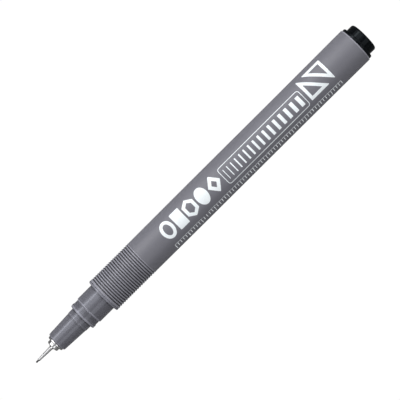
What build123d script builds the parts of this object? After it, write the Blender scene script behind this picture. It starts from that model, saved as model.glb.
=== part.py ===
from build123d import *
import os

# Technical pen (pigment fineliner with a metal-clad needle nib), uncapped.
#
# The pen lies on its side on a table. Row frame: +X runs along the pen from
# the nib to the tail, +Z is up, z = 0 is the table, and the origin is below
# the middle of the pen's length. Everything below is written in pen
# coordinates first: x is the distance behind the nib's tip and r the distance
# from the pen's axis. place() moves a finished solid into the row frame.
# All lengths are in millimetres.

# ---------------------------------------------------------------- dimensions
LENGTH = 127.9            # nib tip to the tail plug's end face, cap off

# nib point: a plastic-fibre rod with a domed end
NIB_R = 0.235
NIB_DOME_R = 0.20
NIB_REAR_X = 13.98

# needle tube: stainless, tapered where it shows, plain inside the ferrule
NEEDLE_FRONT_X = 0.88
NEEDLE_BASE_X = 5.78
NEEDLE_FRONT_R = 0.38
NEEDLE_BASE_R = 0.58
NEEDLE_INNER_R = 0.45     # outside radius of the part inside the ferrule
NEEDLE_BORE_R = 0.25
NEEDLE_REAR_X = 14.00

# ferrule: stainless, stepped: neck, boss, flange, and a skirt in the nose
NECK_R0, NECK_R1 = 0.66, 0.92
BOSS_X = 6.20
BOSS_R = 1.80
BOSS_REAR_X = 7.24
FLANGE_X = 7.30
FLANGE_R = 2.58
FLANGE_REAR_X = 7.93
GROOVE_R = 1.58           # narrow groove between the boss and the flange
SKIRT_R = 2.03
SKIRT_BORE_R = 1.70
SKIRT_REAR_X = 12.00
FERRULE_BORE_R = 0.47

# nib holder: a moulded core inside the ferrule's skirt and the nose's bore
HOLDER_X = 7.45
HOLDER_NOSE_R = 1.68
HOLDER_STEP_X = 12.03
HOLDER_R = 2.03
HOLDER_REAR_X = 24.0
HOLDER_BORE_R = 0.47
HOLDER_WICK_BORE_R = 0.92
VENTS = 4                 # air grooves along the holder
VENT_W, VENT_DEPTH = 0.50, 0.28

# relay wick: a fibre rod from the nib's rear end into the reservoir
WICK_R = 0.90
WICK_X = 14.03
WICK_REAR_X = 38.0

# nose section: tapered nose, cap-snap collar, cap seat, a stop flange that
# butts against the barrel, and a spigot
NOSE_X = 7.95
NOSE_LIP_R = 3.01
NOSE_BORE_R = 2.08
NOSE_BORE_REAR_X = 18.9
NOSE_CAVITY_R = 3.20
BAND_X = 15.95            # raised band behind the taper
BAND_R = 3.49
COLLAR_X = 17.90          # front face of the snap collar
COLLAR_R = 4.33
VALLEY_R = 4.18           # shallow groove behind the collar
SEAT_X = 20.35            # front edge of the cap seat
SEAT_R = 4.45
STOP_X = 26.10            # front face of the stop flange
STOP_R = 5.50
STOP_REAR_X = 26.70
SPIGOT_R = 4.24
SPIGOT_REAR_X = 34.7
SNAP_X = 29.2             # snap bead that locks the nose into the barrel
SNAP_R = 4.36
RES_SEAT_X = 30.1         # step that the reservoir's front end stands on
RES_SEAT_R = 3.80

# barrel: ribbed grip, long slightly tapered tube, and two counterbores
BARREL_X = 26.72
BARREL_REAR_X = 124.50
GRIP_R = 5.49             # crest of the grip rings
RIB_PITCH = 0.733
RIB_FIRST_X = 27.57       # middle of the first groove
RIB_COUNT = 19
RIB_DEPTH = 0.20
GROOVE_TOP, GROOVE_FLOOR = 0.44, 0.16
GRIP_REAR_X = 41.12
BODY_R0 = 5.44            # just behind the grip
BODY_R1 = 5.50            # middle stretch, a true cylinder
BODY_R2 = 5.58            # at the tail
CYL_X0, CYL_X1 = 62.0, 98.0
FRONT_BORE_R = 4.26
FRONT_BORE_REAR_X = 35.0
SNAP_GROOVE_R = 4.40
MID_BORE_R = 4.20
REAR_BORE_X = 116.3
REAR_BORE_R = 4.35
RAIL_COUNT = 6            # rails that hold the reservoir and leave air ways
RAIL_W = 0.70
RAIL_R = 3.78
RAIL_X0, RAIL_X1 = 40.0, 115.0

# ink reservoir: a fibre rod in a film wrap
RES_X, RES_REAR_X = 30.15, 115.9
CORE_R = 3.62
FILM_BORE_R = 3.64
FILM_R = 3.75
WICK_POCKET_R = 0.95
WICK_POCKET_X = 38.3

# tail plug: flange, cap-posting stud, hollow spigot with two sealing beads
PLUG_FLANGE_X = 124.52
PLUG_FLANGE_REAR_X = 125.42
PLUG_FLANGE_R = 5.35
STUD_R = 4.55
STUD_ROUND = 0.70
PLUG_SPIGOT_R = 4.25
PLUG_BEAD_R = 4.30
PLUG_SPIGOT_X = 116.7
PLUG_BEADS = (119.6, 122.2)
PLUG_BORE_R = 3.30
PLUG_BORE_END_X = 126.6
PLUG_SLOTS = 4

AXIS_Z = BODY_R2          # height of the pen's axis over the table
MID_X = LENGTH / 2


# ------------------------------------------------------------------- helpers
def turned(points):
    """Revolves a closed outline of (x, r, corner radius) about the pen's axis."""
    with BuildSketch(Plane.XY) as sk:
        with BuildLine():
            FilletPolyline(
                [(x, r) for x, r, _ in points],
                radius=[f for _, _, f in points],
                close=True,
            )
        make_face()
    return revolve(sk.sketch, axis=Axis.X, revolution_arc=360)


def place(shape):
    return Pos(-MID_X, 0, AXIS_Z) * shape


def around(count, shape, start=0.0):
    return [Rot(start + 360.0 / count * i, 0, 0) * shape for i in range(count)]


# --------------------------------------------------------------------- parts
def nib_point():
    body = turned([
        (0.0, 0.0, 0.0),
        (0.0, NIB_R, NIB_DOME_R),
        (NIB_REAR_X, NIB_R, 0.0),
        (NIB_REAR_X, 0.0, 0.0),
    ])
    return body


def needle_tube():
    return turned([
        (NEEDLE_FRONT_X, NEEDLE_BORE_R, 0.0),
        (NEEDLE_FRONT_X, NEEDLE_FRONT_R, 0.10),
        (NEEDLE_BASE_X, NEEDLE_BASE_R, 0.0),
        (NEEDLE_BASE_X, NEEDLE_INNER_R, 0.0),
        (NEEDLE_REAR_X, NEEDLE_INNER_R, 0.0),
        (NEEDLE_REAR_X, NEEDLE_BORE_R, 0.0),
    ])


def ferrule():
    x0 = NEEDLE_BASE_X + 0.01
    return turned([
        (x0, FERRULE_BORE_R, 0.0),
        (x0, NECK_R0, 0.06),
        (BOSS_X, NECK_R1, 0.08),
        (BOSS_X, BOSS_R, 0.34),
        (BOSS_REAR_X, BOSS_R, 0.16),
        (BOSS_REAR_X, GROOVE_R, 0.0),
        (FLANGE_X, GROOVE_R, 0.0),
        (FLANGE_X, FLANGE_R, 0.28),
        (FLANGE_REAR_X, FLANGE_R, 0.22),
        (FLANGE_REAR_X, SKIRT_R, 0.0),
        (SKIRT_REAR_X, SKIRT_R, 0.0),
        (SKIRT_REAR_X, SKIRT_BORE_R, 0.0),
        (HOLDER_X - 0.02, SKIRT_BORE_R - 0.42, 0.0),
        (HOLDER_X - 0.02, FERRULE_BORE_R, 0.0),
    ])


def nib_holder():
    body = turned([
        (HOLDER_X, HOLDER_BORE_R, 0.0),
        (HOLDER_X, HOLDER_NOSE_R - 0.45, 0.0),
        (HOLDER_STEP_X, HOLDER_NOSE_R - 0.02, 0.0),
        (HOLDER_STEP_X, HOLDER_R, 0.0),
        (HOLDER_REAR_X - 0.3, HOLDER_R, 0.0),
        (HOLDER_REAR_X, HOLDER_R - 0.3, 0.0),
        (HOLDER_REAR_X, HOLDER_WICK_BORE_R + 0.2, 0.0),
        (HOLDER_REAR_X - 0.5, HOLDER_WICK_BORE_R, 0.0),
        (NEEDLE_REAR_X + 0.01, HOLDER_WICK_BORE_R, 0.0),
        (NEEDLE_REAR_X + 0.01, HOLDER_BORE_R, 0.0),
    ])
    x0, x1 = HOLDER_STEP_X + 1.0, HOLDER_REAR_X + 1.0
    groove = Pos((x0 + x1) / 2, 0, HOLDER_R - VENT_DEPTH + 0.5) * Box(x1 - x0, VENT_W, 1.0)
    for g in around(VENTS, groove, 45.0):
        body -= g
    return body


def relay_wick():
    return turned([
        (WICK_X, 0.0, 0.0),
        (WICK_X, WICK_R - 0.12, 0.0),
        (WICK_X + 0.12, WICK_R, 0.0),
        (WICK_REAR_X - 0.5, WICK_R, 0.0),
        (WICK_REAR_X, WICK_R - 0.45, 0.0),
        (WICK_REAR_X, 0.0, 0.0),
    ])


def nose_section():
    return turned([
        (NOSE_X, NOSE_BORE_R, 0.0),
        (NOSE_X, NOSE_LIP_R, 0.36),
        (BAND_X, 3.395, 0.0),
        (BAND_X + 0.12, BAND_R, 0.05),
        (COLLAR_X, BAND_R + 0.02, 0.08),
        (COLLAR_X, COLLAR_R - 0.02, 0.16),
        (18.45, COLLAR_R + 0.01, 0.5),
        (18.80, COLLAR_R - 0.01, 0.25),
        (19.25, VALLEY_R, 0.25),
        (SEAT_X, VALLEY_R, 0.14),
        (SEAT_X + 0.28, SEAT_R, 0.16),
        (STOP_X, SEAT_R, 0.0),
        (STOP_X, STOP_R, 0.16),
        (STOP_REAR_X, STOP_R, 0.10),
        (STOP_REAR_X, SPIGOT_R, 0.0),
        (SNAP_X - 0.40, SPIGOT_R, 0.0),
        (SNAP_X, SNAP_R, 0.12),
        (SNAP_X + 0.40, SPIGOT_R, 0.0),
        (SPIGOT_REAR_X - 0.3, SPIGOT_R, 0.0),
        (SPIGOT_REAR_X, SPIGOT_R - 0.3, 0.0),
        (SPIGOT_REAR_X, RES_SEAT_R, 0.0),
        (RES_SEAT_X, RES_SEAT_R, 0.0),
        (RES_SEAT_X, NOSE_CAVITY_R, 0.0),
        (NOSE_BORE_REAR_X, NOSE_CAVITY_R, 0.3),
        (NOSE_BORE_REAR_X - 0.4, NOSE_BORE_R + 0.35, 0.0),
        (NOSE_BORE_REAR_X - 0.75, NOSE_BORE_R, 0.0),
    ])


def barrel():
    outline = [
        (BARREL_X, FRONT_BORE_R + 0.12, 0.0),
        (BARREL_X, GRIP_R, 0.14),
    ]
    # grip rings: round-bottomed grooves between narrow crests
    for i in range(RIB_COUNT):
        c = RIB_FIRST_X + i * RIB_PITCH
        floor = GRIP_R - RIB_DEPTH
        outline += [
            (c - GROOVE_TOP / 2, GRIP_R, 0.07),
            (c - GROOVE_FLOOR / 2, floor, 0.07),
            (c + GROOVE_FLOOR / 2, floor, 0.07),
            (c + GROOVE_TOP / 2, GRIP_R, 0.07),
        ]
    outline += [
        (GRIP_REAR_X, GRIP_R - 0.01, 0.06),
        (GRIP_REAR_X + 0.20, BODY_R0, 0.06),
        (CYL_X0, BODY_R1, 0.0),
        (CYL_X1, BODY_R1, 0.0),
        (BARREL_REAR_X - 2.0, BODY_R2, 0.0),
        (BARREL_REAR_X, BODY_R2, 0.24),
        (BARREL_REAR_X, REAR_BORE_R + 0.15, 0.0),
        (BARREL_REAR_X - 0.15, REAR_BORE_R, 0.0),
        (REAR_BORE_X, REAR_BORE_R, 0.0),
        (REAR_BORE_X, MID_BORE_R, 0.0),
        (FRONT_BORE_REAR_X, MID_BORE_R, 0.0),
        (FRONT_BORE_REAR_X, FRONT_BORE_R, 0.0),
        (SNAP_X + 0.50, FRONT_BORE_R, 0.0),
        (SNAP_X + 0.10, SNAP_GROOVE_R, 0.0),
        (SNAP_X - 0.10, SNAP_GROOVE_R, 0.0),
        (SNAP_X - 0.50, FRONT_BORE_R, 0.0),
        (BARREL_X + 0.12, FRONT_BORE_R, 0.0),
    ]
    body = turned(outline)
    height = MID_BORE_R + 0.3 - RAIL_R
    rail = Pos((RAIL_X0 + RAIL_X1) / 2, 0, RAIL_R + height / 2) * Box(
        RAIL_X1 - RAIL_X0, RAIL_W, height
    )
    for g in around(RAIL_COUNT, rail):
        body += g
    return body


def reservoir_core():
    return turned([
        (RES_X + 0.10, WICK_POCKET_R, 0.0),
        (RES_X + 0.10, CORE_R - 0.15, 0.0),
        (RES_X + 0.25, CORE_R, 0.0),
        (RES_REAR_X - 0.25, CORE_R, 0.0),
        (RES_REAR_X - 0.10, CORE_R - 0.15, 0.0),
        (RES_REAR_X - 0.10, 0.0, 0.0),
        (WICK_POCKET_X, 0.0, 0.0),
        (WICK_POCKET_X, WICK_POCKET_R - 0.3, 0.0),
        (WICK_POCKET_X - 0.3, WICK_POCKET_R, 0.0),
    ])


def reservoir_film():
    return turned([
        (RES_X, FILM_BORE_R, 0.0),
        (RES_X, FILM_R, 0.0),
        (RES_REAR_X, FILM_R, 0.0),
        (RES_REAR_X, FILM_BORE_R, 0.0),
    ])


def tail_plug():
    outline = [
        (PLUG_SPIGOT_X, PLUG_BORE_R, 0.0),
        (PLUG_SPIGOT_X, PLUG_SPIGOT_R - 0.30, 0.0),
        (PLUG_SPIGOT_X + 0.5, PLUG_SPIGOT_R, 0.0),
    ]
    for c in PLUG_BEADS:
        outline += [
            (c - 0.45, PLUG_SPIGOT_R, 0.0),
            (c - 0.20, PLUG_BEAD_R, 0.0),
            (c + 0.20, PLUG_BEAD_R, 0.0),
            (c + 0.45, PLUG_SPIGOT_R, 0.0),
        ]
    outline += [
        (PLUG_FLANGE_X, PLUG_SPIGOT_R, 0.0),
        (PLUG_FLANGE_X, PLUG_FLANGE_R, 0.14),
        (PLUG_FLANGE_REAR_X, PLUG_FLANGE_R, 0.30),
        (PLUG_FLANGE_REAR_X, STUD_R, 0.12),
        (LENGTH, STUD_R, STUD_ROUND),
        (LENGTH, 0.0, 0.0),
        (PLUG_BORE_END_X, 0.0, 0.0),
        (PLUG_BORE_END_X, PLUG_BORE_R - 0.15, 0.4),
    ]
    body = turned(outline)
    slot = Pos(PLUG_SPIGOT_X, 0, PLUG_BORE_R + 0.5) * Box(2.4, 1.2, 1.8)
    for s in around(PLUG_SLOTS, slot, 45.0):
        body -= s
    return body


PARTS = {
    "barrel": barrel,
    "nose_section": nose_section,
    "ferrule": ferrule,
    "needle_tube": needle_tube,
    "nib_point": nib_point,
    "nib_holder": nib_holder,
    "relay_wick": relay_wick,
    "reservoir_core": reservoir_core,
    "reservoir_film": reservoir_film,
    "tail_plug": tail_plug,
}

os.makedirs("parts", exist_ok=True)
for name, make in PARTS.items():
    solids = place(make()).solids()
    shape = solids[0] if len(solids) == 1 else Compound(children=list(solids))
    box = shape.bounding_box()
    print(
        name, len(solids), round(shape.volume, 3),
        [round(v, 3) for v in (*box.min, *box.max)],
    )
    export_step(shape, f"parts/{name}.step")
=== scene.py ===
import math

import bmesh
import bpy
from mathutils import Matrix, Vector


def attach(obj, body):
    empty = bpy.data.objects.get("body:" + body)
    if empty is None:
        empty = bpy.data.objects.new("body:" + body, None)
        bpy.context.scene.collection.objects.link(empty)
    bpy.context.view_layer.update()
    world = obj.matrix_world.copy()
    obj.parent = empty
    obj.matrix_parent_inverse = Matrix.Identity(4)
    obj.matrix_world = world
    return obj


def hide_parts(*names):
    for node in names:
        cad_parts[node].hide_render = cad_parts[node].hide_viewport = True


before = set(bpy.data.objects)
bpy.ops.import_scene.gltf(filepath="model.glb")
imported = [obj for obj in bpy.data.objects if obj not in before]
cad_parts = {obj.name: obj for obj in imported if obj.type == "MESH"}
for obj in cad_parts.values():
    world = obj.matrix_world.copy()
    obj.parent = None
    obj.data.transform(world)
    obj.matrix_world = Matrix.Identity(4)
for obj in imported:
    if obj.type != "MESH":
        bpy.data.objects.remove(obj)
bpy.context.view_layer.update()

# Technical pen, cap off. Lengths are written in millimetres in pen
# coordinates (x behind the nib's tip, r from the axis) and turned into metres
# in the row frame by P().
MID_X = 127.9 / 2
AXIS_Z = 5.58
MM = 0.001
TAU = 2 * math.pi

scene = bpy.context.scene


def P(x, y, z):
    """Pen coordinates (mm, y and z from the axis) to the row frame (m)."""
    return Vector(((x - MID_X) * MM, y * MM, (z + AXIS_Z) * MM))


# ------------------------------------------------------------------ mesh code
def rounded(points, per_arc=5, closed=True):
    """Outline of (x, r) with each corner rounded by its third value."""
    n, out = len(points), []
    for i, (x, r, f) in enumerate(points):
        here = Vector((x, r))
        if f <= 0 or (not closed and i in (0, n - 1)):
            out.append(here)
            continue
        a, b = Vector(points[i - 1][:2]) - here, Vector(points[(i + 1) % n][:2]) - here
        la, lb = a.length, b.length
        a, b = a / la, b / lb
        half = a.angle(b) / 2
        if half > math.radians(89.5):
            out.append(here)
            continue
        t = min(f / math.tan(half), 0.499 * la, 0.499 * lb)
        rad = t * math.tan(half)
        centre = here + (a + b).normalized() * (rad / math.sin(half))
        s, e = here + a * t - centre, here + b * t - centre
        turn = math.atan2(s.x * e.y - s.y * e.x, s.dot(e))
        count = max(2, round(per_arc * abs(turn) / (math.pi / 2)) + 1)
        for k in range(count + 1):
            w = turn * k / count
            out.append(centre + Vector((
                s.x * math.cos(w) - s.y * math.sin(w),
                s.x * math.sin(w) + s.y * math.cos(w),
            )))
    return out


def divided(points, step, closed=True):
    """The outline with extra points so that no run is longer than step."""
    out, n = [], len(points)
    for i in range(n if closed else n - 1):
        p, q = points[i], points[(i + 1) % n]
        out.append(p)
        if p.y < 1e-6 and q.y < 1e-6:
            continue
        k = int((q - p).length // step)
        out += [p.lerp(q, (j + 1) / (k + 1)) for j in range(k)]
    if not closed:
        out.append(points[-1])
    clean = [out[0]]
    for p in out[1:]:
        if (p - clean[-1]).length > 1e-5:
            clean.append(p)
    if closed and (clean[-1] - clean[0]).length < 1e-5:
        clean.pop()
    return clean


def finish_mesh(ob, angle=32):
    ob.data.validate()
    for p in ob.data.polygons:
        p.use_smooth = True
    ob.data.set_sharp_from_angle(angle=math.radians(angle))
    return ob


def lathe(name, outline, seg=160, step=2.0, per_arc=5, shape=None, angle=32):
    """Closed solid turned about the pen's axis. shape(x, r, phi) may change a point's radius."""
    pts = divided(rounded(outline, per_arc), step)
    bm = bmesh.new()
    rings = []
    for p in pts:
        if p.y < 1e-6:
            rings.append([bm.verts.new(P(p.x, 0, 0))])
            continue
        ring = []
        for j in range(seg):
            phi = TAU * j / seg
            r = shape(p.x, p.y, phi) if shape else p.y
            ring.append(bm.verts.new(P(p.x, r * math.cos(phi), r * math.sin(phi))))
        rings.append(ring)
    n = len(rings)
    for i in range(n):
        a, b = rings[i], rings[(i + 1) % n]
        if len(a) == 1 and len(b) == 1:
            continue
        for j in range(seg):
            k = (j + 1) % seg
            if len(a) == 1:
                bm.faces.new((a[0], b[j], b[k]))
            elif len(b) == 1:
                bm.faces.new((a[j], b[0], a[k]))
            else:
                bm.faces.new((a[j], b[j], b[k], a[k]))
    bmesh.ops.recalc_face_normals(bm, faces=bm.faces[:])
    me = bpy.data.meshes.new(name)
    bm.to_mesh(me)
    bm.free()
    ob = bpy.data.objects.new(name, me)
    scene.collection.objects.link(ob)
    return finish_mesh(ob, angle)


def carve(ob, cutters, angle=32):
    """Cuts the solids in cutters out of ob and keeps the result as ob's mesh."""
    for c in cutters:
        m = ob.modifiers.new("cut", "BOOLEAN")
        m.operation, m.solver, m.object = "DIFFERENCE", "EXACT", c
    dg = bpy.context.evaluated_depsgraph_get()
    me = bpy.data.meshes.new_from_object(ob.evaluated_get(dg))
    ob.modifiers.clear()
    ob.data = me
    me.name = ob.name
    for c in cutters:
        bpy.data.objects.remove(c)
    return finish_mesh(ob, angle)


def block(x0, x1, width, r0, r1, phi):
    """Box cutter, x0 to x1 along the pen and r0 to r1 out from the axis at angle phi."""
    bm = bmesh.new()
    u = Vector((0, math.cos(phi), math.sin(phi)))
    v = Vector((0, -math.sin(phi), math.cos(phi)))
    grid = {}
    for i, x in enumerate((x0, x1)):
        for j, r in enumerate((r0, r1)):
            for k, w in enumerate((-width / 2, width / 2)):
                q = u * r + v * w
                grid[i, j, k] = bm.verts.new(P(x, q.y, q.z))
    for f in (
        ((0, 0, 0), (0, 0, 1), (0, 1, 1), (0, 1, 0)), ((1, 0, 0), (1, 1, 0), (1, 1, 1), (1, 0, 1)),
        ((0, 0, 0), (1, 0, 0), (1, 0, 1), (0, 0, 1)), ((0, 1, 0), (0, 1, 1), (1, 1, 1), (1, 1, 0)),
        ((0, 0, 0), (0, 1, 0), (1, 1, 0), (1, 0, 0)), ((0, 0, 1), (1, 0, 1), (1, 1, 1), (0, 1, 1)),
    ):
        bm.faces.new([grid[c] for c in f])
    bmesh.ops.recalc_face_normals(bm, faces=bm.faces[:])
    me = bpy.data.meshes.new("cutter")
    bm.to_mesh(me)
    bm.free()
    ob = bpy.data.objects.new("cutter", me)
    scene.collection.objects.link(ob)
    return ob


# ------------------------------------------------------------- material nodes
class Nodes:
    """Short calls for a procedural material that is worked out in pen space."""

    def __init__(self, name, color, rough, metal=0.0, **sockets):
        self.mat = bpy.data.materials.new(name)
        self.mat.use_nodes = True
        self.nt = self.mat.node_tree
        self.nt.nodes.clear()
        self.out = self.new("ShaderNodeOutputMaterial")
        self.bsdf = self.new("ShaderNodeBsdfPrincipled")
        self.link(self.bsdf.outputs[0], self.out.inputs["Surface"])
        self.set(self.bsdf.inputs["Base Color"], color)
        self.bsdf.inputs["Roughness"].default_value = rough
        self.bsdf.inputs["Metallic"].default_value = metal
        for k, v in sockets.items():
            self.set(self.bsdf.inputs[k.replace("_", " ")], v)
        self.co = self.new("ShaderNodeTexCoord").outputs["Object"]
        self.mat.diffuse_color = (*color[:3], 1)

    def new(self, kind):
        return self.nt.nodes.new(kind)

    def link(self, a, b):
        self.nt.links.new(a, b)

    def set(self, socket, value):
        if hasattr(value, "is_linked") or hasattr(value, "links"):
            self.link(value, socket)
        elif isinstance(value, (tuple, list)) and len(value) == 3 and socket.type == "RGBA":
            socket.default_value = (*value, 1)
        else:
            socket.default_value = value

    def stretch(self, sx, sy, sz, about_axis=True):
        m = self.new("ShaderNodeMapping")
        if about_axis:
            m.inputs["Location"].default_value = (0, 0, -AXIS_Z * MM * sz)
        m.inputs["Scale"].default_value = (sx, sy, sz)
        self.link(self.co, m.inputs["Vector"])
        return m.outputs[0]

    def noise(self, scale, detail=3.0, rough=0.5, vector=None, distort=0.0):
        n = self.new("ShaderNodeTexNoise")
        n.inputs["Scale"].default_value = scale
        n.inputs["Detail"].default_value = detail
        n.inputs["Roughness"].default_value = rough
        n.inputs["Distortion"].default_value = distort
        self.link(vector or self.co, n.inputs["Vector"])
        return n.outputs["Fac"]

    def cells(self, scale, vector=None, feature="F1"):
        n = self.new("ShaderNodeTexVoronoi")
        n.feature = feature
        n.inputs["Scale"].default_value = scale
        self.link(vector or self.co, n.inputs["Vector"])
        return n.outputs["Distance"]

    def waves(self, scale, axis="X", distort=0.0, vector=None):
        n = self.new("ShaderNodeTexWave")
        n.wave_type, n.bands_direction, n.wave_profile = "BANDS", axis, "SIN"
        n.inputs["Scale"].default_value = scale
        n.inputs["Distortion"].default_value = distort
        n.inputs["Detail"].default_value = 2.0
        self.link(vector or self.co, n.inputs["Vector"])
        return n.outputs["Fac"]

    def remap(self, value, a, b, lo, hi, smooth=False):
        n = self.new("ShaderNodeMapRange")
        n.interpolation_type = "SMOOTHSTEP" if smooth else "LINEAR"
        n.clamp = True
        for s, x in zip(("From Min", "From Max", "To Min", "To Max"), (a, b, lo, hi)):
            n.inputs[s].default_value = x
        self.link(value, n.inputs["Value"])
        return n.outputs["Result"]

    def math(self, op, a, b=None):
        n = self.new("ShaderNodeMath")
        n.operation = op
        self.set(n.inputs[0], a)
        if b is not None:
            self.set(n.inputs[1], b)
        return n.outputs[0]

    def mix(self, fac, a, b, mode="MIX"):
        n = self.new("ShaderNodeMix")
        n.data_type, n.blend_type = "RGBA", mode
        self.set(n.inputs[0], fac)
        self.set(n.inputs[6], a)
        self.set(n.inputs[7], b)
        return n.outputs[2]

    def along(self):
        """Distance behind the nib's tip, in mm."""
        s = self.new("ShaderNodeSeparateXYZ")
        self.link(self.co, s.inputs[0])
        return self.math("ADD", self.math("MULTIPLY", s.outputs["X"], 1000.0), MID_X)

    def radius(self):
        """Distance from the pen's axis, in mm."""
        m = self.new("ShaderNodeVectorMath")
        m.operation = "MULTIPLY_ADD"
        m.inputs[1].default_value = (0, 1000, 1000)
        m.inputs[2].default_value = (0, 0, -AXIS_Z)
        self.link(self.co, m.inputs[0])
        n = self.new("ShaderNodeVectorMath")
        n.operation = "LENGTH"
        self.link(m.outputs[0], n.inputs[0])
        return n.outputs["Value"]

    def color(self, socket):
        self.link(socket, self.bsdf.inputs["Base Color"])

    def rough(self, socket):
        self.link(socket, self.bsdf.inputs["Roughness"])

    def bump(self, layers):
        """layers: (height, strength, distance in mm), added one on another."""
        normal = None
        for height, strength, distance in layers:
            b = self.new("ShaderNodeBump")
            b.inputs["Strength"].default_value = strength
            b.inputs["Distance"].default_value = distance * MM
            self.link(height, b.inputs["Height"])
            if normal is not None:
                self.link(normal, b.inputs["Normal"])
            normal = b.outputs["Normal"]
        self.link(normal, self.bsdf.inputs["Normal"])


def shade(color, k):
    return tuple(c * k for c in color)


# ------------------------------------------------------------------ materials
def barrel_plastic():
    base = (0.152, 0.152, 0.177)
    m = Nodes("barrel_plastic", base, 0.46)
    cloud = m.noise(70, 3, 0.5)
    mottle = m.noise(900, 2, 0.5)
    fleck = m.noise(9000, 1, 0.5)
    c = m.mix(m.remap(cloud, 0.3, 0.7, 0, 1), shade(base, 0.97), shade(base, 1.03))
    c = m.mix(m.remap(mottle, 0.35, 0.7, 0, 0.5), c, shade(base, 1.05))
    c = m.mix(m.remap(fleck, 0.62, 0.74, 0, 0.35, True), c, shade(base, 1.35))
    c = m.mix(m.remap(fleck, 0.38, 0.28, 0, 0.30, True), c, shade(base, 0.75))
    x, r = m.along(), m.radius()
    in_grip = m.math("MULTIPLY", m.remap(x, 26.70, 26.9, 0, 1), m.remap(x, 41.2, 41.6, 1, 0))
    # painted highlight on the grip's rib crests and painted shade in the grooves between them, laid over the ribs'
    # real relief
    crest = m.math("MULTIPLY", m.remap(r, 5.44, 5.485, 0, 1, True), in_grip)
    root_shade = m.math("MULTIPLY", m.remap(r, 5.465, 5.36, 0, 1, True), in_grip)
    outside = m.remap(r, 4.9, 5.1, 0, 1)
    c = m.mix(m.math("MULTIPLY", crest, m.remap(m.noise(420, 3), 0.35, 0.65, 0.75, 1.0)), c, shade(base, 1.75))
    c = m.mix(m.math("MULTIPLY", m.math("MULTIPLY", root_shade, outside), 0.95), c, shade(base, 0.25))
    # painted highlight: light lines on the barrel's rear rim and front edge
    rim = m.math("MULTIPLY", m.remap(x, 124.12, 124.22, 0, 1, True), outside)
    front_edge_highlight = m.math("MULTIPLY", m.remap(x, 26.94, 26.80, 0, 1, True), outside)
    c = m.mix(m.math("MULTIPLY", m.math("MAXIMUM", rim, m.math("MULTIPLY", front_edge_highlight, 0.5)), 0.9), c, shade(base, 1.9))
    m.color(c)
    scuff = m.noise(160, 4, 0.6, m.stretch(0.35, 1, 1), 0.6)
    rough = m.remap(scuff, 0.3, 0.75, 0.43, 0.52)
    rough = m.math("SUBTRACT", rough, m.math("MULTIPLY", crest, 0.07))
    m.rough(rough)
    m.bump([
        (m.noise(5200, 2, 0.6), 0.22, 0.010),
        (m.noise(1300, 2, 0.5), 0.10, 0.010),
        (m.noise(38, 2, 0.5, m.stretch(0.5, 1, 1)), 0.06, 0.012),
    ])
    return m.mat


def nose_plastic():
    base = (0.124, 0.124, 0.145)
    m = Nodes("nose_plastic", base, 0.20, Specular_IOR_Level=0.68, Specular_Tint=(0.86, 0.89, 1.0))
    c = m.mix(m.remap(m.noise(110, 3), 0.3, 0.7, 0, 1), shade(base, 0.96), shade(base, 1.04))
    c = m.mix(m.remap(m.noise(7000, 1), 0.64, 0.75, 0, 0.12, True), c, shade(base, 1.25))
    x, r = m.along(), m.radius()
    # painted highlights: light rings on the nose's rounded edges and step lips; painted shadow: dark rings at its
    # steps and gaps
    edge_highlight, shadow = None, None
    for centre, width, amount in ((8.15, 0.30, 0.5), (16.25, 0.24, 0.35), (18.32, 0.34, 1.0), (20.68, 0.30, 1.0)):
        d = m.math("ABSOLUTE", m.math("SUBTRACT", x, centre))
        e = m.remap(d, width, width * 0.4, 0, amount, True)
        edge_highlight = e if edge_highlight is None else m.math("MAXIMUM", edge_highlight, e)
    for centre, width, amount in ((15.72, 0.25, 0.35), (17.80, 0.30, 0.6), (19.80, 0.70, 0.30), (25.92, 0.22, 0.5)):
        d = m.math("ABSOLUTE", m.math("SUBTRACT", x, centre))
        e = m.remap(d, width, width * 0.5, 0, amount, True)
        shadow = e if shadow is None else m.math("MAXIMUM", shadow, e)
    c = m.mix(m.math("MULTIPLY", edge_highlight, m.remap(m.noise(500, 3), 0.3, 0.7, 0.7, 1.0)), c, shade(base, 2.1))
    c = m.mix(shadow, c, shade(base, 0.35))
    seat = m.math("MULTIPLY", m.remap(x, 20.7, 21.2, 0, 1), m.remap(r, 4.3, 4.4, 0, 1))
    # painted highlight: the flange ring is painted lighter
    flange_highlight = m.math("MULTIPLY", m.remap(r, 4.9, 5.2, 0, 1, True), m.remap(x, 26.72, 26.64, 0, 1))
    c = m.mix(m.math("MULTIPLY", flange_highlight, 0.8), c, shade(base, 1.55))
    rub = m.noise(2600, 2, 0.5, m.stretch(1, 0.05, 0.05))
    m.color(c)
    smudge = m.remap(m.noise(190, 4, 0.6, None, 0.5), 0.3, 0.75, 0.15, 0.24)
    m.rough(m.math("ADD", smudge, m.math("MULTIPLY", seat, m.remap(rub, 0.5, 0.7, 0, 0.08))))
    m.bump([
        (m.noise(4200, 2, 0.6), 0.015, 0.005),
        (rub, 0.015, 0.005),
        (m.noise(60, 2, 0.5), 0.02, 0.010),
    ])
    return m.mat


def plug_plastic():
    base = (0.0025, 0.0030, 0.0040)
    m = Nodes("plug_plastic", base, 0.12, Specular_IOR_Level=0.12, Specular_Tint=(0.78, 0.90, 1.0))
    c = m.mix(m.remap(m.noise(600, 4), 0.35, 0.7, 0, 1), shade(base, 0.8), shade(base, 1.5))
    c = m.mix(m.remap(m.noise(8000, 1), 0.68, 0.76, 0, 0.35, True), c, (0.02, 0.021, 0.024))
    m.color(c)
    scratch = m.noise(2400, 3, 0.6, m.stretch(1, 0.06, 0.06), 0.2)
    m.rough(m.remap(scratch, 0.35, 0.75, 0.06, 0.14))
    m.bump([(scratch, 0.08, 0.006), (m.noise(300, 2), 0.10, 0.010)])
    return m.mat


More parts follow.
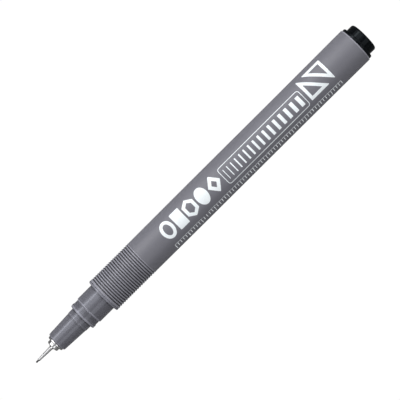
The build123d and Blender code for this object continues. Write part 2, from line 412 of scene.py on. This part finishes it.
def ferrule_steel():
    base = (0.80, 0.80, 0.815)
    m = Nodes("ferrule_steel", base, 0.09, 1.0)
    turning = m.waves(5200, "X", 1.2)
    fine = m.noise(9000, 2, 0.5, m.stretch(1, 0.02, 0.02))
    c = m.mix(m.remap(m.noise(900, 4), 0.35, 0.7, 0, 1), shade(base, 0.93), shade(base, 1.05))
    r, x = m.radius(), m.along()
    # painted shade: a dark line in the groove between the boss and the flange
    groove_shade = m.remap(m.math("ABSOLUTE", m.math("SUBTRACT", x, 7.27)), 0.10, 0.03, 0, 1, True)
    c = m.mix(m.math("MULTIPLY", groove_shade, 0.7), c, (0.10, 0.10, 0.11))
    m.color(c)
    m.rough(m.remap(fine, 0.3, 0.7, 0.06, 0.14))
    m.bump([(turning, 0.04, 0.002), (fine, 0.08, 0.003)])
    return m.mat


def needle_steel():
    base = (0.52, 0.52, 0.53)
    m = Nodes("needle_steel", base, 0.30, 1.0)
    drawn = m.noise(7000, 3, 0.6, m.stretch(0.03, 1, 1))
    c = m.mix(m.remap(drawn, 0.35, 0.65, 0, 1), shade(base, 0.90), shade(base, 1.06))
    c = m.mix(m.math("MULTIPLY", m.remap(m.along(), 1.25, 0.88, 0, 1, True), 0.75), c, (0.08, 0.08, 0.09))
    m.color(c)
    m.rough(m.remap(drawn, 0.3, 0.7, 0.34, 0.46))
    m.bump([(drawn, 0.08, 0.003), (m.waves(2600, "X", 3.0), 0.02, 0.003)])
    return m.mat


def nib_fibre():
    base = (0.006, 0.006, 0.008)
    m = Nodes("nib_fibre", base, 0.50, Specular_IOR_Level=0.18)
    fibre = m.noise(14000, 3, 0.6, m.stretch(0.10, 1, 1))
    m.color(m.mix(m.remap(fibre, 0.35, 0.7, 0, 1), shade(base, 0.6), (0.014, 0.014, 0.018)))
    m.rough(m.remap(fibre, 0.3, 0.7, 0.42, 0.60))
    m.bump([(fibre, 0.35, 0.006)])
    return m.mat


def print_white():
    base = (0.875, 0.925, 0.955)
    m = Nodes("print_white", base, 0.38)
    c = m.mix(m.remap(m.noise(350, 4, 0.6), 0.3, 0.7, 0, 1), shade(base, 0.95), shade(base, 1.03))
    pin = m.noise(5200, 2, 0.5)
    c = m.mix(m.remap(pin, 0.66, 0.76, 0, 0.6, True), c, (0.42, 0.43, 0.48))
    m.color(c)
    m.rough(m.remap(m.noise(1500, 3), 0.3, 0.7, 0.32, 0.46))
    m.bump([(pin, 0.18, 0.006), (m.noise(1100, 2), 0.12, 0.006)])
    return m.mat


def holder_plastic():
    base = (0.74, 0.74, 0.71)
    m = Nodes("holder_plastic", base, 0.40)
    ink = m.math("MULTIPLY", m.remap(m.along(), 19.0, 24.2, 0, 1, True), m.remap(m.noise(900, 4, 0.6), 0.42, 0.62, 0, 1, True))
    c = m.mix(m.remap(m.noise(260, 3), 0.3, 0.7, 0, 1), shade(base, 0.94), shade(base, 1.04))
    m.color(m.mix(m.math("MULTIPLY", ink, 0.8), c, (0.035, 0.035, 0.045)))
    m.rough(m.remap(m.noise(1500, 3), 0.3, 0.7, 0.33, 0.48))
    m.bump([(m.noise(5000, 2), 0.15, 0.008), (m.noise(300, 2), 0.15, 0.010)])
    return m.mat


def wick_fibre():
    base = (0.022, 0.022, 0.027)
    m = Nodes("wick_fibre", base, 0.62)
    strand = m.noise(9000, 3, 0.6, m.stretch(0.06, 1, 1), 0.3)
    m.color(m.mix(m.remap(strand, 0.35, 0.7, 0, 1), shade(base, 0.5), (0.075, 0.075, 0.085)))
    m.rough(m.remap(strand, 0.3, 0.7, 0.5, 0.75))
    m.bump([(strand, 0.6, 0.02)])
    return m.mat


def reservoir_fibre():
    base = (0.040, 0.040, 0.050)
    m = Nodes("reservoir_fibre", base, 0.7)
    strand = m.cells(7000, m.stretch(0.04, 1, 1))
    m.color(m.mix(m.remap(strand, 0.1, 0.7, 0, 1), (0.11, 0.11, 0.13), shade(base, 0.5)))
    m.rough(m.remap(strand, 0.1, 0.7, 0.55, 0.8))
    m.bump([(strand, 0.6, 0.03)])
    return m.mat


def reservoir_wrap():
    base = (0.62, 0.64, 0.67)
    m = Nodes("reservoir_wrap", base, 0.25)
    c = m.mix(m.remap(m.noise(300, 3), 0.3, 0.7, 0, 1), shade(base, 0.9), shade(base, 1.05))
    m.color(c)
    crease = m.noise(500, 3, 0.6, m.stretch(0.15, 1, 1), 0.5)
    m.rough(m.remap(crease, 0.3, 0.7, 0.18, 0.34))
    m.bump([(crease, 0.3, 0.02)])
    return m.mat


MATERIALS = {f.__name__: f() for f in (
    barrel_plastic, nose_plastic, plug_plastic, ferrule_steel, needle_steel, nib_fibre,
    print_white, holder_plastic, wick_fibre, reservoir_fibre, reservoir_wrap,
)}


def fit_out(ob, material, body, node=None):
    ob.data.materials.clear()
    ob.data.materials.append(MATERIALS[material])
    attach(ob, body)
    if node:
        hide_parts(node)
    return ob


# ------------------------------------------------------------------ camera
# Over the pen, looking down on the printed side; the tail is 0.67 degrees
# nearer than the nib, and the pen climbs to the right at 44.84 degrees.
TILT, ROLL = math.radians(0.67), math.radians(44.84)
DISTANCE = 523.7
AIM = (63.85, -0.055)

back = Vector((math.sin(TILT), 0, math.cos(TILT)))
e_u = Vector((math.cos(TILT), 0, -math.sin(TILT)))
e_w = back.cross(e_u)
right = math.cos(ROLL) * e_u - math.sin(ROLL) * e_w
up = math.sin(ROLL) * e_u + math.cos(ROLL) * e_w
cam_data = bpy.data.cameras.new("camera")
cam_data.sensor_width = 36.0
cam_data.sensor_fit = "HORIZONTAL"
cam_data.lens = 170.5
cam_data.clip_start, cam_data.clip_end = 0.01, 20.0
cam = bpy.data.objects.new("camera", cam_data)
scene.collection.objects.link(cam)
rot = Matrix((
    (right.x, up.x, back.x),
    (right.y, up.y, back.y),
    (right.z, up.z, back.z),
))
cam.matrix_world = Matrix.Translation(P(AIM[0], AIM[1], 0) + back * DISTANCE * MM) @ rot.to_4x4()
scene.camera = cam

# ------------------------------------------------------------------ barrel
GRIP_R = 5.49
RIB_PITCH, RIB_FIRST_X, RIB_COUNT, RIB_DEPTH = 0.733, 27.57, 19, 0.20
outline = [
    (26.72, 4.38, 0.0),
    (26.72, GRIP_R, 0.14),
]
for i in range(RIB_COUNT):
    c = RIB_FIRST_X + i * RIB_PITCH
    floor_r = GRIP_R - RIB_DEPTH * (0.55 if i == RIB_COUNT - 1 else 1.0)
    outline += [
        (c - 0.22, GRIP_R, 0.07),
        (c - 0.08, floor_r, 0.07),
        (c + 0.08, floor_r, 0.07),
        (c + 0.22, GRIP_R, 0.07),
    ]
outline += [
    (41.12, GRIP_R - 0.01, 0.06),
    (41.32, 5.44, 0.06),
    (62.0, 5.50, 0.0),
    (98.0, 5.50, 0.0),
    (122.50, 5.58, 0.0),
    (124.50, 5.58, 0.24),
    (124.50, 4.50, 0.0),
    (124.35, 4.35, 0.0),
    (116.30, 4.35, 0.0),
    (116.30, 4.20, 0.0),
    (115.05, 4.20, 0.0),
    (115.00, 4.20, 0.0),
    (40.00, 4.20, 0.0),
    (39.95, 4.20, 0.0),
    (35.00, 4.20, 0.0),
    (35.00, 4.26, 0.0),
    (29.70, 4.26, 0.0),
    (29.30, 4.40, 0.0),
    (29.10, 4.40, 0.0),
    (28.70, 4.26, 0.0),
    (26.84, 4.26, 0.0),
]


def rails(x, r, phi):
    if 40.0 - 1e-4 <= x <= 115.0 + 1e-4 and abs(r - 4.20) < 1e-4:
        off = (phi + math.radians(30)) % math.radians(60) - math.radians(30)
        if abs(off) <= math.radians(3.9):
            return 3.78
    return r


barrel = lathe("barrel_shell", outline, seg=192, step=2.0, per_arc=4, shape=rails)
fit_out(barrel, "barrel_plastic", "barrel", "barrel")

# ------------------------------------------------------------------ nose
nose = lathe("nose_shell", [
    (7.95, 2.08, 0.0),
    (7.95, 3.01, 0.36),
    (15.95, 3.395, 0.0),
    (16.07, 3.49, 0.05),
    (17.90, 3.51, 0.08),
    (17.90, 4.31, 0.16),
    (18.45, 4.34, 0.5),
    (18.80, 4.32, 0.25),
    (19.25, 4.18, 0.25),
    (20.35, 4.18, 0.14),
    (20.63, 4.45, 0.16),
    (26.10, 4.45, 0.0),
    (26.10, 5.50, 0.16),
    (26.70, 5.50, 0.10),
    (26.70, 4.24, 0.0),
    (28.80, 4.24, 0.0),
    (29.20, 4.36, 0.12),
    (29.60, 4.24, 0.0),
    (34.40, 4.24, 0.0),
    (34.70, 3.94, 0.0),
    (34.70, 3.80, 0.0),
    (30.10, 3.80, 0.0),
    (30.10, 3.20, 0.0),
    (18.90, 3.20, 0.3),
    (18.50, 2.43, 0.0),
    (18.15, 2.08, 0.0),
], seg=160, step=0.8, per_arc=6)
fit_out(nose, "nose_plastic", "barrel", "nose_section")

# ------------------------------------------------------------------ nib unit
ferrule = lathe("ferrule_turned", [
    (5.79, 0.47, 0.0),
    (5.79, 0.66, 0.06),
    (6.20, 0.92, 0.08),
    (6.20, 1.80, 0.34),
    (7.24, 1.80, 0.16),
    (7.24, 1.58, 0.0),
    (7.30, 1.58, 0.0),
    (7.30, 2.58, 0.28),
    (7.93, 2.58, 0.22),
    (7.93, 2.03, 0.0),
    (12.00, 2.03, 0.0),
    (12.00, 1.70, 0.0),
    (7.43, 1.28, 0.0),
    (7.43, 0.47, 0.0),
], seg=144, step=0.4, per_arc=10)
fit_out(ferrule, "ferrule_steel", "nib_unit", "ferrule")

needle = lathe("needle_taper", [
    (0.88, 0.25, 0.0),
    (0.88, 0.38, 0.10),
    (5.78, 0.58, 0.0),
    (5.78, 0.45, 0.0),
    (14.00, 0.45, 0.0),
    (14.00, 0.25, 0.0),
], seg=72, step=0.4, per_arc=8)
fit_out(needle, "needle_steel", "nib_unit", "needle_tube")

point = lathe("fibre_point", [
    (0.0, 0.0, 0.0),
    (0.0, 0.235, 0.20),
    (13.98, 0.235, 0.0),
    (13.98, 0.0, 0.0),
], seg=48, step=0.4, per_arc=8)
fit_out(point, "nib_fibre", "nib_unit", "nib_point")

holder = lathe("holder_core", [
    (7.45, 0.47, 0.0),
    (7.45, 1.23, 0.0),
    (12.03, 1.66, 0.0),
    (12.03, 2.03, 0.0),
    (23.70, 2.03, 0.0),
    (24.00, 1.73, 0.0),
    (24.00, 1.12, 0.0),
    (23.50, 0.92, 0.0),
    (14.01, 0.92, 0.0),
    (14.01, 0.47, 0.0),
], seg=96, step=1.5)
carve(holder, [block(13.03, 25.0, 0.50, 1.75, 2.75, math.radians(45 + 90 * i)) for i in range(4)])
fit_out(holder, "holder_plastic", "nib_unit", "nib_holder")


def strands(x, r, phi):
    if r < 0.4 or x > 37.6:
        return r
    w = math.sin(23 * phi + 0.9 * math.sin(x * 0.7)) + 0.6 * math.sin(37 * phi + 1.3 * math.sin(x * 0.4 + 1))
    return r - 0.010 + 0.006 * w


wick = lathe("wick_rod", [
    (14.03, 0.0, 0.0),
    (14.03, 0.78, 0.0),
    (14.15, 0.90, 0.0),
    (37.50, 0.90, 0.0),
    (38.00, 0.45, 0.0),
    (38.00, 0.0, 0.0),
], seg=144, step=0.6, shape=strands, angle=60)
fit_out(wick, "wick_fibre", "nib_unit", "relay_wick")

# ------------------------------------------------------------------ reservoir
core = lathe("reservoir_rod", [
    (30.25, 0.95, 0.0),
    (30.25, 3.47, 0.0),
    (30.40, 3.62, 0.0),
    (115.65, 3.62, 0.0),
    (115.80, 3.47, 0.0),
    (115.80, 0.0, 0.0),
    (38.30, 0.0, 0.0),
    (38.30, 0.65, 0.0),
    (38.00, 0.95, 0.0),
], seg=96, step=4.0)
fit_out(core, "reservoir_fibre", "barrel", "reservoir_core")
film = lathe("reservoir_wrap", [
    (30.15, 3.64, 0.0),
    (30.15, 3.75, 0.0),
    (115.90, 3.75, 0.0),
    (115.90, 3.64, 0.0),
], seg=96, step=4.0)
fit_out(film, "reservoir_wrap", "barrel", "reservoir_film")

# ------------------------------------------------------------------ tail plug
outline = [
    (116.70, 3.30, 0.0),
    (116.70, 3.95, 0.0),
    (117.20, 4.25, 0.0),
]
for c in (119.6, 122.2):
    outline += [(c - 0.45, 4.25, 0.0), (c - 0.20, 4.30, 0.04), (c + 0.20, 4.30, 0.04), (c + 0.45, 4.25, 0.0)]
outline += [
    (124.52, 4.25, 0.0),
    (124.52, 5.35, 0.14),
    (125.42, 5.35, 0.30),
    (125.42, 4.55, 0.12),
    (127.90, 4.55, 0.70),
    (127.90, 0.0, 0.0),
    (126.60, 0.0, 0.0),
    (126.60, 3.15, 0.4),
]
plug = lathe("plug_moulding", outline, seg=160, step=1.0, per_arc=9)
carve(plug, [block(115.5, 117.9, 1.2, 2.9, 4.7, math.radians(45 + 90 * i)) for i in range(4)])
fit_out(plug, "plug_plastic", "tail_plug", "tail_plug")

# ------------------------------------------------------------------ print
PRINT_R = 5.50       # the barrel's surface under the print, give or take its taper
INK = 0.016          # how far the ink stands proud


def barrel_r(x):
    if x < 62:
        return 5.44 + 0.06 * (x - 41.32) / (62 - 41.32)
    return 5.50 if x <= 98 else 5.50 + 0.08 * min(1.0, (x - 98) / 24.5)


def wrapped(name, loops_list, body="barrel", cell=0.22):
    """White ink on the barrel. Each entry is one patch: its outer loop and its
    holes, as (x, s) points, s measured round the barrel from its top."""
    bm = bmesh.new()
    for loops in loops_list:
        edges = []
        for loop in loops:
            vs = [bm.verts.new((x, s, 0)) for x, s in loop]
            edges += [bm.edges.new((vs[i], vs[(i + 1) % len(vs)])) for i in range(len(vs))]
        bmesh.ops.triangle_fill(bm, use_beauty=True, use_dissolve=False, edges=edges, normal=(0, 0, 1))
    ys = [v.co.y for v in bm.verts]
    lo, hi = min(ys), max(ys)
    s = math.ceil(lo / cell) * cell + 0.0137
    while s < hi:
        bmesh.ops.bisect_plane(
            bm, geom=bm.verts[:] + bm.edges[:] + bm.faces[:], dist=1e-6,
            plane_co=(0, s, 0), plane_no=(0, 1, 0),
        )
        s += cell
    bmesh.ops.recalc_face_normals(bm, faces=bm.faces[:])
    for f in bm.faces:
        if f.normal.z < 0:
            f.normal_flip()
    rim = [e for e in bm.edges if len(e.link_faces) == 1]
    top = list(bm.verts)
    low = {v: bm.verts.new(v.co) for v in top}
    ordered = [(e.verts[0], e.verts[1], e.link_faces[0]) for e in rim]
    faces = list(bm.faces)
    for f in faces:
        bm.faces.new([low[v] for v in reversed(f.verts[:])])
    for a, b, f in ordered:
        vs = list(f.verts)
        if vs[(vs.index(a) + 1) % len(vs)] != b:
            a, b = b, a
        bm.faces.new((b, a, low[a], low[b]))
    for v in top:
        place_on_barrel(v, INK, low[v])
    me = bpy.data.meshes.new(name)
    bm.to_mesh(me)
    bm.free()
    ob = bpy.data.objects.new(name, me)
    scene.collection.objects.link(ob)
    finish_mesh(ob, 40)
    return fit_out(ob, "print_white", body)


def place_on_barrel(v, proud, under):
    x, s = v.co.x, v.co.y
    r = barrel_r(x)
    a = s / PRINT_R
    v.co = P(x, (r + proud) * math.sin(a), (r + proud) * math.cos(a))
    under.co = P(x, (r - 0.012) * math.sin(a), (r - 0.012) * math.cos(a))


def ngon(cx, cy, r, n, start=0.0, sx=1.0):
    return [(cx + sx * r * math.cos(start + TAU * i / n), cy + r * math.sin(start + TAU * i / n)) for i in range(n)]


def round_rect(x0, y0, x1, y1, r, k=6):
    out = []
    for cx, cy, a0 in ((x1 - r, y1 - r, 0), (x0 + r, y1 - r, 90), (x0 + r, y0 + r, 180), (x1 - r, y0 + r, 270)):
        for i in range(k + 1):
            a = math.radians(a0 + 90 * i / k)
            out.append((cx + r * math.cos(a), cy + r * math.sin(a)))
    return out


def rounded_poly(points, r, k=4):
    pts = rounded([(x, y, r) for x, y in points], per_arc=k)
    return [(p.x, p.y) for p in pts]


def arc(cx, cy, rx, ry, a0, a1, k):
    return [(cx + rx * math.cos(math.radians(a0 + (a1 - a0) * i / k)),
             cy + ry * math.sin(math.radians(a0 + (a1 - a0) * i / k))) for i in range(k + 1)]


# a row of plain drawing-template shapes
cy = 0.34


def ellipse(cx, rx, ry, n=72):
    return [(cx + rx * math.cos(TAU * i / n), cy + ry * math.sin(TAU * i / n)) for i in range(n)]


def lozenge(cx, rx, ry, flat):
    """Six-sided template shape, rx by ry, with upright sides 2 * flat long."""
    return [(cx + rx, cy - flat), (cx + rx, cy + flat), (cx, cy + ry), (cx - rx, cy + flat), (cx - rx, cy - flat), (cx, cy - ry)]


shapes = [
    [ellipse(51.93, 2.07, 2.78), ellipse(51.93, 1.12, 1.80)],
    [round_rect(54.62, cy - 2.70, 57.90, cy + 2.70, 0.22)],
    [rounded_poly(lozenge(60.52, 2.02, 2.86, 1.45), 0.20), rounded_poly(lozenge(60.52, 1.06, 1.72, 0.88), 0.10)],
    [ellipse(65.06, 1.90, 2.74)],
    [rounded_poly([(67.50, cy), (69.72, cy - 2.86), (71.94, cy), (69.72, cy + 2.86)], 0.2),
     rounded_poly([(68.78, cy), (69.72, cy - 1.21), (70.66, cy), (69.72, cy + 1.21)], 0.08)],
]
wrapped("print_symbols", shapes)

# outline box with a row of line-width samples in it, thin to thick
box = [[round_rect(72.77, -3.05, 103.91, 2.67, 0.85, 8), round_rect(72.95, -2.87, 103.73, 2.49, 0.68, 8)]]
wrapped("print_frame", box)
bars = []
x = 73.95
for i in range(16):
    w = 0.20 + 0.066 * i
    bars.append([round_rect(x, -1.84, x + w, 1.46, min(0.12, w * 0.4), 4)])
    x += w + 1.19
wrapped("print_gauge", bars)

# a pair of plain set squares, back to back
STROKE = 0.92


def set_square(corners):
    """Three-cornered outline of one stroke's width."""
    pts = [Vector(c) for c in corners]
    sides = [(pts[(i + 2) % 3] - pts[(i + 1) % 3]).length for i in range(3)]
    centre = sum((pts[i] * sides[i] for i in range(3)), Vector((0, 0))) / sum(sides)
    (ax, ay), (bx, by), (cx, cy_) = pts
    inner_r = abs((bx - ax) * (cy_ - ay) - (cx - ax) * (by - ay)) / sum(sides)
    k = 1 - STROKE / inner_r
    hole = [centre + (p - centre) * k for p in pts]
    return [rounded_poly([(p.x, p.y) for p in pts], 0.16), rounded_poly([(p.x, p.y) for p in hole], 0.06)]


wrapped("print_square_a", [set_square([(104.90, -2.52), (111.60, -2.52), (104.90, 4.90)])])
wrapped("print_square_b", [set_square([(113.88, 4.90), (107.18, 4.90), (113.88, -2.52)])])

# a fine scale along the lower side, one tick a millimetre
ticks = [[round_rect(50.3, -4.51, 114.3, -4.42, 0.04, 2)]]
for i in range(65):
    x = 50.3 + i
    low = -6.7 if i % 5 == 0 else -5.95
    ticks.append([[(x - 0.105, low), (x + 0.105, low), (x + 0.105, -4.60), (x - 0.105, -4.60)]])
wrapped("print_scale", ticks)

# ------------------------------------------------------------------ studio
floor_mesh = bpy.data.meshes.new("floor")
bm = bmesh.new()
bmesh.ops.create_circle(bm, cap_ends=True, segments=96, radius=4.0)
bm.to_mesh(floor_mesh)
bm.free()
floor = bpy.data.objects.new("floor", floor_mesh)
scene.collection.objects.link(floor)
fm = bpy.data.materials.new("floor")
fm.use_nodes = True
fb = fm.node_tree.nodes["Principled BSDF"]
fb.inputs["Base Color"].default_value = (0.90, 0.90, 0.90, 1)
fb.inputs["Roughness"].default_value = 0.9
fb.inputs["Specular IOR Level"].default_value = 0.0
# plain white where the camera looks at it, a pale diffuse floor for the light
ft = fm.node_tree
seen = ft.nodes.new("ShaderNodeLightPath")
white = ft.nodes.new("ShaderNodeEmission")
white.inputs["Color"].default_value = (1, 1, 1, 1)
white.inputs["Strength"].default_value = 1.02
choose = ft.nodes.new("ShaderNodeMixShader")
ft.links.new(seen.outputs["Is Camera Ray"], choose.inputs[0])
ft.links.new(fb.outputs[0], choose.inputs[1])
ft.links.new(white.outputs[0], choose.inputs[2])
ft.links.new(choose.outputs[0], ft.nodes["Material Output"].inputs["Surface"])
floor_mesh.materials.append(fm)
floor.visible_glossy = False


def strip(name, psi, width, energy, color=(1, 1, 1), radius=0.50, length=1.0, x=0.0):
    """Soft box parallel to the pen, psi degrees from overhead towards +Y."""
    data = bpy.data.lights.new(name, "AREA")
    data.shape, data.size, data.size_y = "RECTANGLE", length, width
    data.energy, data.color = energy, color
    ob = bpy.data.objects.new(name, data)
    scene.collection.objects.link(ob)
    a = math.radians(psi)
    out = Vector((0, math.sin(a), math.cos(a)))
    ob.location = Vector((x, 0, AXIS_Z * MM)) + out * radius
    z = out
    xx = Vector((1, 0, 0))
    yy = z.cross(xx)
    ob.rotation_euler = Matrix((
        (xx.x, yy.x, z.x), (xx.y, yy.y, z.y), (xx.z, yy.z, z.z),
    )).to_euler()
    return ob


LIGHTS = [
    ("low_fill", -70, 0.131, 0.058, (1.0, 1.0, 1.0)),
    ("fill_a", -40, 0.131, 0.360, (1.0, 1.0, 1.0)),
    ("fill_b", -25, 0.131, 0.407, (1.0, 1.0, 1.0)),
    ("top", 5, 0.131, 0.198, (1.0, 1.0, 1.0)),
    ("key_a", 20, 0.131, 0.696, (1.0, 1.0, 1.0)),
    ("key_b", 35, 0.131, 0.674, (1.0, 1.0, 1.0)),
    ("key_c", 50, 0.131, 1.780, (1.0, 1.0, 1.0)),
    ("key_d", 66, 0.131, 0.420, (1.0, 1.0, 1.0)),
]
for name, psi, width, energy, color in LIGHTS:
    strip(name, psi, width, energy, color)



def end_panel(name, x, z, energy, size=0.30):
    """Upright soft panel beyond one end of the pen, facing the pen."""
    data = bpy.data.lights.new(name, "AREA")
    data.shape, data.size, data.size_y = "RECTANGLE", size, 0.20
    data.energy = energy
    ob = bpy.data.objects.new(name, data)
    scene.collection.objects.link(ob)
    out = Vector((x, 0, z)).normalized()
    yy = Vector((0, 1, 0))
    top = out.cross(yy)
    ob.location = Vector((x, 0, AXIS_Z * MM + z))
    ob.rotation_euler = Matrix((
        (yy.x, top.x, out.x), (yy.y, top.y, out.y), (yy.z, top.z, out.z),
    )).to_euler()


end_panel("tail_end_panel", 0.60, 0.10, 0.50)
end_panel("nib_end_panel", -0.60, 0.10, 0.30)

world = bpy.data.worlds.new("studio")
world.use_nodes = True
bg = world.node_tree.nodes["Background"]
bg.inputs["Color"].default_value = (1.0, 1.0, 1.0, 1)
wpath = world.node_tree.nodes.new("ShaderNodeLightPath")
wmix = world.node_tree.nodes.new("ShaderNodeMapRange")
wmix.inputs["To Min"].default_value = 0.165
wmix.inputs["To Max"].default_value = 1.02
world.node_tree.links.new(wpath.outputs["Is Camera Ray"], wmix.inputs["Value"])
world.node_tree.links.new(wmix.outputs["Result"], bg.inputs["Strength"])
scene.world = world
scene.view_settings.view_transform = "Standard"
scene.view_settings.look = "None"
scene.view_settings.exposure = 0.0
scene.view_settings.gamma = 1.0
